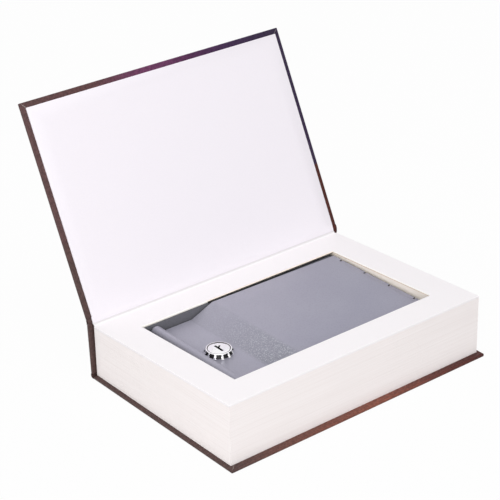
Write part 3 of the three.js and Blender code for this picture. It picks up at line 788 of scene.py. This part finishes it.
def joint_turn_ins(finishes):
    """The wrap's ends, turned in across the front joint, seen past the ends of the endpaper."""
    points = [(83.85, 42.2), (83.86, 44.0), (83.95, 45.6), (84.4, 47.2), (85.12, 48.5)]
    path = smooth_through(points, 5)
    low, high = GUTTER_ENDS
    tip = COVER_END - 0.1
    for name, x0, x1 in (("lock_end_turn_in", -tip, low - 0.1), ("hinge_end_turn_in", high + 0.1, tip)):
        made = piece(name, ribbon(path, -WRAP, x0, x1), [finishes["wrap"]], 50)
        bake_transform(made)


def pastedown(finishes):
    """The endpaper glued to the cover, with the wrap's turn-ins just showing through it."""
    half = BOARD / 2
    u0 = HINGE_TO_BOARD + PASTEDOWN_HINGE
    u1 = HINGE_TO_BOARD + COVER_WIDTH - PASTEDOWN_EDGE
    x1 = COVER_END - PASTEDOWN_SIDE
    face = PASTEDOWN_FACE
    rim = 0.25
    corner = 0.07
    fold = 0.06
    fold_width = 1.2
    side = TURN_IN - PASTEDOWN_SIDE
    top = TURN_IN - PASTEDOWN_EDGE

    def ring(inset_x, inset_low, inset_high, w):
        return [
            (-x1 + inset_x, u0 + inset_low, w),
            (x1 - inset_x, u0 + inset_low, w),
            (x1 - inset_x, u1 - inset_high, w),
            (-x1 + inset_x, u1 - inset_high, w),
        ]

    rings = [
        ring(0, 0, 0, half),
        ring(0, 0, 0, face - rim),
        ring(corner, corner, corner, face - corner),
        ring(rim, rim, rim, face),
        ring(side, rim + 0.1, top, face),
        ring(side + fold_width, rim + 0.5, top + fold_width, face - fold),
    ]
    shape = bmesh.new()
    add_loops(shape, rings)
    shape.transform(board_place(FRONT_HINGE, COVER_ANGLE))
    made = piece("cover_endpaper", shape, [finishes["endpaper"]])
    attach(made, "cover")
    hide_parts("front_pastedown")


def gutter_paper(finishes):
    """The endpaper where it crosses from the top of the pages to the cover."""
    paper = 0.2
    proud = 0.06
    lap = 2.5
    corner = (PAGE_SPINE - 0.3, SPINE_TOP - paper + proud)
    fold = GUTTER_FOLD
    board = board_place(FRONT_HINGE, COVER_ANGLE)
    landing = board @ Vector((0, HINGE_TO_BOARD + PASTEDOWN_HINGE + 0.4, PASTEDOWN_FACE - paper + 0.02))
    before = board @ Vector((0, HINGE_TO_BOARD - 0.6, PASTEDOWN_FACE - paper))
    lower = [(PAGE_SPINE - lap, SPINE_TOP + lap * TOP_SLOPE - paper + proud), corner, (82.1, 43.95), fold]
    upper = [fold, (83.62, 46.3), (before.y, before.z), (landing.y, landing.z)]
    names = ("gutter_paper_lower", "gutter_paper_upper")
    bodies = (("book", "spine"), ("spine", "cover"))
    for name, points, pair, finish in zip(names, (lower, upper), bodies, ("gutter foot", "gutter")):
        path = smooth_through(points, 6)
        made = piece(name, ribbon(path, paper, *GUTTER_ENDS), [finishes[finish]], 60)
        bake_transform(made)


def leaf_outline(thickness):
    """One leaf of the block with its window, as a thin closed ring."""
    shape = bmesh.new()
    outer = [(-PAGE_END, PAGE_FORE), (PAGE_END, PAGE_FORE), (PAGE_END, PAGE_SPINE), (-PAGE_END, PAGE_SPINE)]
    low, high = PAGE_WINDOW
    hinge_end = WINDOW_END + PAGES_UNDER_CARD
    inner = [(-WINDOW_END, low), (hinge_end, low), (hinge_end, high), (-WINDOW_END, high)]
    section = ((outer, 0), (outer, thickness), (inner, thickness), (inner, 0))
    add_loops(shape, [[(x, y, z) for x, y in outline] for outline, z in section], ends="joined")
    return shape


def leaf_stack_tree(finish):
    """Stack leaves into a block, each cut a hair differently, and thicken it towards the fore-edge."""
    tree = bpy.data.node_groups.new("leaf_stack", "GeometryNodeTree")
    face = tree.interface
    face.new_socket("Leaf", in_out="INPUT", socket_type="NodeSocketGeometry")
    for name in ("Pitch", "Bottom", "Uneven", "Spine side", "Wedge"):
        face.new_socket(name, in_out="INPUT", socket_type="NodeSocketFloat")
    face.new_socket("Leaves", in_out="INPUT", socket_type="NodeSocketInt")
    face.new_socket("Block", in_out="OUTPUT", socket_type="NodeSocketGeometry")
    block = Nodes(tree)
    add, calc = block.add, block.calc
    given = add("NodeGroupInput", {}).outputs
    result = add("NodeGroupOutput", {}).inputs
    step = add("ShaderNodeCombineXYZ", {"Z": given["Pitch"]}).outputs[0]
    base = add("ShaderNodeCombineXYZ", {"Z": given["Bottom"]}).outputs[0]
    inputs = {"Count": given["Leaves"], "Offset": step, "Start Location": base}
    line = add("GeometryNodeMeshLine", inputs, mode="OFFSET").outputs["Mesh"]
    least = calc("SUBTRACT", 1.0, given["Uneven"])
    smallest = add("ShaderNodeCombineXYZ", {"X": least, "Y": least, "Z": 1.0}).outputs[0]
    inputs = {"Min": smallest, "Max": (1, 1, 1), "Seed": 7}
    cut = add("FunctionNodeRandomValue", inputs, data_type="FLOAT_VECTOR")
    inputs = {"Points": line, "Instance": given["Leaf"], "Scale": cut.outputs["Value"]}
    stack = add("GeometryNodeInstanceOnPoints", inputs).outputs["Instances"]
    solid = add("GeometryNodeRealizeInstances", {"Geometry": stack}).outputs[0]
    spot = add("ShaderNodeSeparateXYZ", {0: add("GeometryNodeInputPosition", {}).outputs[0]}).outputs
    growth = calc("MULTIPLY", calc("SUBTRACT", given["Spine side"], spot["Y"]), given["Wedge"])
    rise = calc("MULTIPLY", calc("SUBTRACT", spot["Z"], given["Bottom"]), calc("ADD", growth, 1.0))
    height = calc("ADD", rise, given["Bottom"])
    target = add("ShaderNodeCombineXYZ", {"X": spot["X"], "Y": spot["Y"], "Z": height}).outputs[0]
    wedge = add("GeometryNodeSetPosition", {"Geometry": solid, "Position": target}).outputs[0]
    coated = add("GeometryNodeSetMaterial", {"Geometry": wedge, "Material": finish}).outputs[0]
    tree.links.new(coated, result[0])
    return tree


def page_leaves(finishes):
    """The cut pages, leaf by leaf."""
    height = SPINE_TOP - CARD - GLUE_GAP - PAGE_BOTTOM
    pitch = height / LEAVES
    made = piece("page_leaves", leaf_outline(LEAF_SHARE * pitch), [finishes["pages"]])
    modifier = made.modifiers.new("stack", "NODES")
    modifier.node_group = leaf_stack_tree(finishes["pages"])
    values = {
        "Pitch": pitch * MM,
        "Bottom": PAGE_BOTTOM * MM,
        "Uneven": UNEVEN_LEAVES,
        "Spine side": PAGE_SPINE * MM,
        "Wedge": TOP_SLOPE / (height * MM),
        "Leaves": LEAVES,
    }
    for item in modifier.node_group.interface.items_tree:
        if item.name in values:
            modifier[item.identifier] = values[item.name]
    settle(made)
    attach(made, "book")
    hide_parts("page_block")


def top_at(y):
    return SPINE_TOP + (PAGE_SPINE - y) * TOP_SLOPE


def top_sheet(finishes):
    """The white card on the pages, cut out round the box, with softened edges."""
    low, high = CARD_WINDOW
    soft = 0.18
    worn = 0.5
    foot = 0.04

    def ring(x, y0, y1, drop, spine_side_drop=None):
        far = drop if spine_side_drop is None else spine_side_drop
        corners = ((-x, y0, drop), (x, y0, drop), (x, y1, far), (-x, y1, far))
        return [(a, y, top_at(y) - d) for a, y, d in corners]

    rings = [
        ring(PAGE_END - foot, PAGE_FORE + foot, PAGE_SPINE - foot, CARD),
        ring(PAGE_END, PAGE_FORE, PAGE_SPINE, CARD - foot),
        ring(PAGE_END, PAGE_FORE, PAGE_SPINE, soft),
        ring(PAGE_END - soft, PAGE_FORE + soft, PAGE_SPINE - soft, 0),
        ring(WINDOW_END + soft, low - soft, high + worn, 0),
        ring(WINDOW_END, low, high, soft, worn),
        ring(WINDOW_END, low, high, CARD - soft),
        ring(WINDOW_END + soft, low - soft, high + soft, CARD),
    ]
    shape = bmesh.new()
    add_loops(shape, rings, ends="joined")
    shape.normal_update()
    for face in shape.faces:
        middle = face.calc_center_median()
        in_window = abs(middle.x) < WINDOW_END + soft and low - soft < middle.y < high + worn
        if in_window and abs(face.normal.z) < 0.9:
            face.material_index = 1
    made = piece("top_sheet", shape, [finishes["card"], finishes["card edge"]])
    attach(made, "book")
    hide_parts("top_card")


def spine_cloth(finishes):
    """The cloth strip glued down the back of the pages."""
    low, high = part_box("spine_lining")
    shape = rounded_slab(low / MM, high / MM, radius=0.12, steps=2)
    made = piece("spine_cloth", shape, [finishes["lining"]])
    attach(made, "book")
    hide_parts("spine_lining")


# Steel box and lid

def knuckle_edges():
    """Where each hinge knuckle starts and ends along Y; the box has the even ones."""
    inner = (2 * (KNUCKLE_HALF - OUTER_KNUCKLE) - 4 * KNUCKLE_GAP) / 3
    edges = []
    start = MIDDLE - KNUCKLE_HALF
    for width in (OUTER_KNUCKLE, inner, inner, inner, OUTER_KNUCKLE):
        edges.append((start, start + width))
        start += width + KNUCKLE_GAP
    return edges


def lid_path():
    """The lid's outer face from the foot of its lip to its hinge end, as X, Z points."""
    centre = (LIP_X + LIP_RADIUS, LIP_TOP - LIP_RADIUS)
    away = math.hypot(SHELF_X - centre[0], SHELF_Z - centre[1])
    lean = math.atan2(SHELF_Z - centre[1], SHELF_X - centre[0]) + math.acos(LIP_RADIUS / away)
    lip = arc(*centre, LIP_RADIUS, 180, math.degrees(lean), 18)
    shelf = (SHELF_X, SHELF_Z)
    foot = (RAMP_FOOT, SHELF_Z)
    land = (LAND_X, LAND_Z)
    return [
        (LIP_X, SKIRT_Z),
        *lip,
        *fillet(lip[-1], shelf, foot, SHELF_CORNER, 5),
        *fillet(shelf, foot, RAMP_TOP, RAMP_CORNER, 6),
        *fillet(foot, RAMP_TOP, land, RAMP_CORNER, 6),
        land,
        (PLATE_END, LAND_Z),
    ]


def lid_skin():
    """The lid's outer face with its rounded edges and its side flanges, as an open skin."""
    path = [Vector(p) for p in lid_path()]
    normals = []
    for i in range(len(path)):
        ahead = (path[min(i + 1, len(path) - 1)] - path[max(i - 1, 0)]).normalized()
        normals.append(Vector((-ahead.y, ahead.x)))
    normals[0] = Vector((-1, 0))
    normals[-1] = Vector((0, 1))
    turns = [math.radians(a) for a in (90, 72, 54, 36, 18, 0)]
    rows = []
    shape = bmesh.new()
    for point, normal in zip(path, normals):
        across = []
        for side, angles in ((-1, turns), (1, turns[::-1])):
            for a in angles:
                drawn_in = point - normal * LID_ROUNDING * (1 - math.cos(a))
                y = MIDDLE + side * (LID_HALF - LID_ROUNDING * (1 - math.sin(a)))
                across.append(shape.verts.new((drawn_in.x, y, drawn_in.y)))
        rows.append(across)
    for row, following in zip(rows, rows[1:]):
        for i in range(len(row) - 1):
            shape.faces.new((row[i], row[i + 1], following[i + 1], following[i]))
    foot = [(PLATE_END, PIN[1]), PIN, (PIN[0], SKIRT_Z)]
    for side, column in ((-1, 0), (1, -1)):
        y = MIDDLE + side * LID_HALF
        below = [shape.verts.new((x, y, z)) for x, z in foot]
        shape.faces.new([row[column] for row in rows] + below)
    return shape


def curl(shape, y0, y1):
    """Add one knuckle under the plate's end: sheet that turns down and rolls round the pin."""
    meet = 180 - math.degrees(math.asin(KNUCKLE_BORE / KNUCKLE_RADIUS))
    outer = arc(0, 0, KNUCKLE_RADIUS, 90, meet - 360, 40)
    inner = arc(0, 0, KNUCKLE_BORE, meet - 360, 90, 40)
    leaf = LAND_Z - SHEET / 2 - PIN[1]
    section = [(-leaf, KNUCKLE_RADIUS), *outer, *inner, (-leaf, KNUCKLE_BORE)]
    loops = [[(PIN[0] + v, y, PIN[1] - u) for u, v in section] for y in (y0, y1)]
    add_strip_ends(shape, add_loops(shape, loops, ends="open"))


def relief_cutter():
    """Four small round-ended slots for the plate's end, one at each gap between knuckles."""
    shape = bmesh.new()
    half = KNUCKLE_GAP / 2
    past = PLATE_END + 2
    for start, _ in knuckle_edges()[1:]:
        middle = start - half
        inner_end = arc(PLATE_END - RELIEF + half, middle, half, 90, 270, 10)
        outline = [(past, middle + half), *inner_end, (past, middle - half)]
        add_loops(shape, [[(x, y, z) for x, y in outline] for z in (LAND_Z - 2 * SHEET, LAND_Z + 2)])
    return piece("relief_slots", shape, [])


def lock_hole_cutter():
    """A round bar through the shelf, for the lock's barrel."""
    shape = bmesh.new()
    outline = arc(LOCK_X, MIDDLE, BARREL_RADIUS + LOCK_HOLE_PLAY, 0, 360, 96)[:-1]
    add_loops(shape, [[(x, y, z) for x, y in outline] for z in LOCK_HOLE_ENDS])
    return piece("lock_hole", shape, [])


def darken_slots(pressing, finish):
    """Paint the walls of the lid's relief slots near black, as painted shade of the gap behind them."""
    middles = [start - KNUCKLE_GAP / 2 for start, _ in knuckle_edges()[1:]]
    margin = 0.15
    pressing.data.materials.append(finish)
    for face in pressing.data.polygons:
        x, y, z = face.center / MM
        beside = min(abs(y - middle) for middle in middles) < KNUCKLE_GAP / 2 + margin
        in_slot = x > PLATE_END - RELIEF - margin and z > LAND_Z - SHEET
        if in_slot and beside and abs(face.normal.z) < 0.6:
            face.material_index = 1


def lid(finishes):
    """The pressed lid: rounded lip, shelf, ramp, gently falling top, flanges and two knuckles."""
    made = piece("lid_pressing", lid_skin(), [finishes["coat"]])
    thicken = made.modifiers.new("sheet", "SOLIDIFY")
    thicken.thickness = SHEET * MM
    thicken.offset = -1
    thicken.use_even_offset = True
    cutters = (lock_hole_cutter(), relief_cutter())
    for cutter in cutters:
        cut = made.modifiers.new(cutter.name, "BOOLEAN")
        cut.object = cutter
        cut.solver = "EXACT"
    soften(made, 0.22, 50)
    settle(made)
    for cutter in cutters:
        bpy.data.objects.remove(cutter)
    knuckles = bmesh.new()
    for y0, y1 in knuckle_edges()[1::2]:
        curl(knuckles, y0, y1)
    bmesh.ops.recalc_face_normals(knuckles, faces=knuckles.faces[:])
    bmesh.ops.scale(knuckles, vec=(MM, MM, MM), verts=knuckles.verts[:])
    knuckles.from_mesh(made.data)
    knuckles.to_mesh(made.data)
    knuckles.free()
    shade(made.data)
    darken_slots(made, finishes["recess"])
    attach(made, "lid")
    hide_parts("lid")


def floor_foam(finishes):
    """The thin foam pad on the box's floor, soft at its edges."""
    low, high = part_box("floor_pad")
    shape = rounded_slab(low / MM, high / MM, radius=0.55, steps=4)
    made = piece("floor_foam", shape, [finishes["foam"]])
    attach(made, "book")
    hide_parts("floor_pad")


def softened_copy(node, name, finish, edge):
    """A merged copy of a solid with its edges broken, in place of the solid."""
    source = frame["nodes"][node]
    shape = bmesh.new()
    shape.from_mesh(source.data)
    bmesh.ops.remove_doubles(shape, verts=shape.verts[:], dist=1e-6)
    bmesh.ops.dissolve_limit(
        shape, angle_limit=math.radians(1), verts=shape.verts[:], edges=shape.edges[:], delimit={"NORMAL"}
    )
    bmesh.ops.scale(shape, vec=(1 / MM,) * 3, verts=shape.verts[:])
    made = piece(name, shape, [finish])
    soften(made, edge, 40)
    settle(made)
    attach(made, source["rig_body"])
    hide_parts(node)
    return made


# Lock

def head_radius(turn, share):
    """The head's outer radius at an angle and a share of its height from the top, and if it gets the
    painted shade there.

    A scoop's width and sides are shares of the distance between scoops, its top a share of the height.
    """
    ridge = HEAD_FACE_RADIUS + (HEAD_BASE_RADIUS - HEAD_FACE_RADIUS) * share
    phase = ((turn - SCOOP_TURN) * SCOOPS / (2 * math.pi)) % 1.0
    across = abs(phase - 0.5) * 2
    width = SCOOP_WIDTH - SCOOP_TAPER * share
    open_share = min(1.0, max(0.0, (width - across) / SCOOP_SIDE))
    down = min(1.0, max(0.0, (share - SCOOP_TOP) / SCOOP_TOP_SLOPE))
    scooped = open_share * down
    return ridge - SCOOP_DEPTH * scooped, scooped > SCOOP_SHADE_FROM


def lock_housing(finishes):
    """The chrome housing: scooped head, seat for the plug, and a threaded barrel below the lid."""
    steps = SCOOPS * STEPS_PER_SCOOP
    shape = bmesh.new()
    profile = [(BORE_RADIUS, BARREL_Z, None), (BARREL_RADIUS - 0.5, BARREL_Z, None)]
    thread_low, thread_high = BARREL_Z + 0.3, HEAD_Z - 1.5
    for i in range(THREAD_LEVELS):
        z = thread_low + (thread_high - thread_low) * i / (THREAD_LEVELS - 1)
        profile.append((BARREL_RADIUS, z, "thread"))
    profile += [(BARREL_RADIUS, HEAD_Z - 1.2, None), (BARREL_RADIUS, HEAD_Z, None)]
    height = FACE_Z - HEAD_Z
    for share in (1.0, 0.97, 0.9, 0.8, 0.65, 0.5, 0.4, 0.32, 0.26, 0.2, 0.14, 0.1, 0.06):
        profile.append((share, FACE_Z - height * share, "head"))
    profile += [
        (HEAD_FACE_RADIUS - 0.1, FACE_Z - 0.02, None),
        (HEAD_FACE_RADIUS - 0.3, FACE_Z, None),
        (HEAD_BORE + 0.3, FACE_Z, None),
        (HEAD_BORE + 0.05, FACE_Z - 0.3, None),
        (HEAD_BORE, HEAD_SEAT_Z, None),
        (BORE_RADIUS, HEAD_SEAT_Z, "groove"),
    ]
    ring_groove = (len(profile) - 4, len(profile) - 3)
    half_width, reach, groove_end = WAFER_GROOVE
    profile += [(BORE_RADIUS, groove_end, "groove"), (BORE_RADIUS, groove_end, None)]
    rings = []
    for radius, z, kind in profile:
        ring = []
        for k in range(steps):
            turn = 2 * math.pi * k / steps
            r = radius
            if kind == "head":
                r = head_radius(turn, radius)[0]
            if kind == "thread":
                phase = ((z - BARREL_Z) / THREAD_PITCH - turn / (2 * math.pi)) % 1.0
                r = radius - THREAD_DEPTH * abs(phase * 2 - 1)
            if kind == "groove":
                sideways, lengthways = abs(math.cos(turn)) + 1e-6, abs(math.sin(turn)) + 1e-6
                r = max(radius, min(half_width / sideways, reach / lengthways))
            ring.append(shape.verts.new((LOCK_X + r * math.cos(turn), MIDDLE + r * math.sin(turn), z)))
        rings.append(ring)
    rings.append(rings[0])
    for level, (ring, following) in enumerate(zip(rings, rings[1:])):
        for k in range(steps):
            j = (k + 1) % steps
            made = shape.faces.new((ring[k], ring[j], following[j], following[k]))
            kinds = profile[level][2], profile[(level + 1) % len(profile)][2]
            # Faces deep in the scoops get the painted shade.
            if kinds == ("head", "head"):
                share = (profile[level][0] + profile[level + 1][0]) / 2
                made.material_index = int(head_radius(2 * math.pi * (k + 0.5) / steps, share)[1])
            # The ring groove round the plug gets the painted shade.
            elif level in ring_groove:
                made.material_index = 1
    bmesh.ops.remove_doubles(shape, verts=shape.verts[:], dist=1e-5)
    made = piece("lock_head_and_barrel", shape, [finishes["chrome"], finishes["recess"]], 40)
    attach(made, "lid")
    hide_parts("lock_housing")


def inner_metal(finishes):
    """The pieces inside the box and the lock, with their edges broken."""
    for node, name, finish, edge in (
        ("box_body", "box_shell", "shaded coat", 0.15),
        ("strike", "strike_channel", "zinc", 0.2),
        ("hinge_pin", "hinge_wire", "steel", 0.2),
        ("lock_washer", "flat_washer", "zinc", 0.12),
        ("lock_nut", "hex_nut", "zinc", 0.25),
        ("lock_plug", "keyed_plug", "chrome", 0.22),
        ("stop_washer", "square_hole_washer", "zinc", 0.12),
        ("lock_cam", "cam_arm", "zinc", 0.2),
        ("cam_washer", "small_washer", "zinc", 0.12),
        ("cam_screw", "slotted_screw", "zinc", 0.15),
    ):
        made = softened_copy(node, name, finishes[finish], edge)
        if node == "lock_plug":
            darken_keyway(made, finishes["recess"])
    for number in range(1, 6):
        paint(f"wafer_{number}", finishes["brass"])
        paint(f"wafer_spring_{number}", finishes["steel"])


def darken_keyway(plug, finish):
    """Paint the walls of the keyway near black, as painted shade in the narrow slot."""
    plug.data.materials.append(finish)
    for face in plug.data.polygons:
        away = math.hypot(face.center.x / MM - LOCK_X, face.center.y / MM - MIDDLE)
        if away < KEYWAY_REACH and abs(face.normal.z) < 0.3:
            face.material_index = 1


def paint(node, finish):
    """Give a solid that stays in view its finish."""
    mesh = frame["nodes"][node].data
    mesh.materials.clear()
    mesh.materials.append(finish)


# Studio

def lamp(name, place, target, size, power):
    """A square softbox, with its size in metres and its power in watts."""
    light = bpy.data.lights.new(name, "AREA")
    light.shape = "SQUARE"
    light.size = size
    light.energy = power
    made = bpy.data.objects.new(name, light)
    made.location = place
    made.rotation_euler = (Vector(target) - Vector(place)).to_track_quat("-Z", "Y").to_euler()
    bpy.context.scene.collection.objects.link(made)


def studio():
    """A pale floor, soft lamps, and a world that is white to the camera and plain to the object."""
    shape = bmesh.new()
    corners = ((-1, -1), (1, -1), (1, 1), (-1, 1))
    shape.faces.new([shape.verts.new((FLOOR_REACH * x, FLOOR_REACH * y, 0)) for x, y in corners])
    floor = piece("studio_floor", shape, [studio_floor()])
    world = bpy.data.worlds.new("studio")
    bpy.context.scene.world = world
    world.use_nodes = True
    sky = Nodes(world.node_tree)
    ambient = world.node_tree.nodes["Background"]
    ambient.inputs["Color"].default_value = (1, 1, 1, 1)
    ambient.inputs["Strength"].default_value = AMBIENT
    white = sky.add("ShaderNodeBackground", {"Color": (1, 1, 1, 1), "Strength": 1.0})
    sky.show(sky.background_ray(), ambient, white, "World Output")
    lamp("overhead_softbox", (-0.3, -0.4, 1.45), target=(0, 0, 0.04), size=1.3, power=9.1)
    lamp("left_softbox", (-1.3, -1.1, 0.55), target=(0, 0, 0.06), size=0.9, power=13.6)


def photo_camera():
    """Stand where the photograph was taken from."""
    heading, dip, roll = (math.radians(a) for a in CAMERA_TURN)
    ahead = Vector((math.sin(heading) * math.cos(dip), math.cos(heading) * math.cos(dip), -math.sin(dip)))
    level = Vector((math.cos(heading), -math.sin(heading), 0))
    right = level * math.cos(roll) + ahead.cross(level) * math.sin(roll)
    up = right.cross(ahead)
    camera = bpy.data.objects.new("camera", bpy.data.cameras.new("camera"))
    camera.data.sensor_width = 36
    camera.data.lens = CAMERA_LENS
    camera.data.clip_start = 0.05
    camera.data.clip_end = 30
    turned = Matrix((right, up, -ahead)).transposed().to_4x4()
    camera.matrix_world = Matrix.Translation(CAMERA_PLACE) @ turned
    bpy.context.scene.collection.objects.link(camera)
    bpy.context.scene.camera = camera
    bpy.context.scene.view_settings.view_transform = "Standard"


photo_camera()
studio()
finishes = {
    "wrap": printed_wrap(),
    "wrap core": wrap_core(),
    "endpaper": white_paper("cover_endpaper_paper", ENDPAPER_WHITE),
    "gutter": creased_paper("gutter_paper_upper_white", ENDPAPER_WHITE, ENDPAPER_WHITE),
    "gutter foot": creased_paper("gutter_paper_lower_white", (0.83, 0.8, 0.815), CARD_WHITE),
    "card": white_paper("top_sheet_card", CARD_WHITE),
    "card edge": card_edge(),
    "pages": page_edges(),
    "lining": lining_cloth(),
    "coat": hammered_coat(),
    "shaded coat": shaded_coat(),
    "chrome": polished_chrome(),
    "recess": painted_recess_shade(),
    "zinc": turned_metal("zinc_plate", (0.62, 0.63, 0.64), 0.35, 500),
    "steel": turned_metal("spring_steel", (0.5, 0.51, 0.53), 0.3, 900),
    "brass": turned_metal("stamped_brass", (0.68, 0.5, 0.22), 0.32, 700),
    "foam": black_foam(),
}
book = (back_board, front_board, spine_piece, joints, joint_turn_ins, pastedown, gutter_paper)
pages_and_box = (page_leaves, top_sheet, spine_cloth, lid, floor_foam, lock_housing, inner_metal)
for make in book + pages_and_box:
    make(finishes)
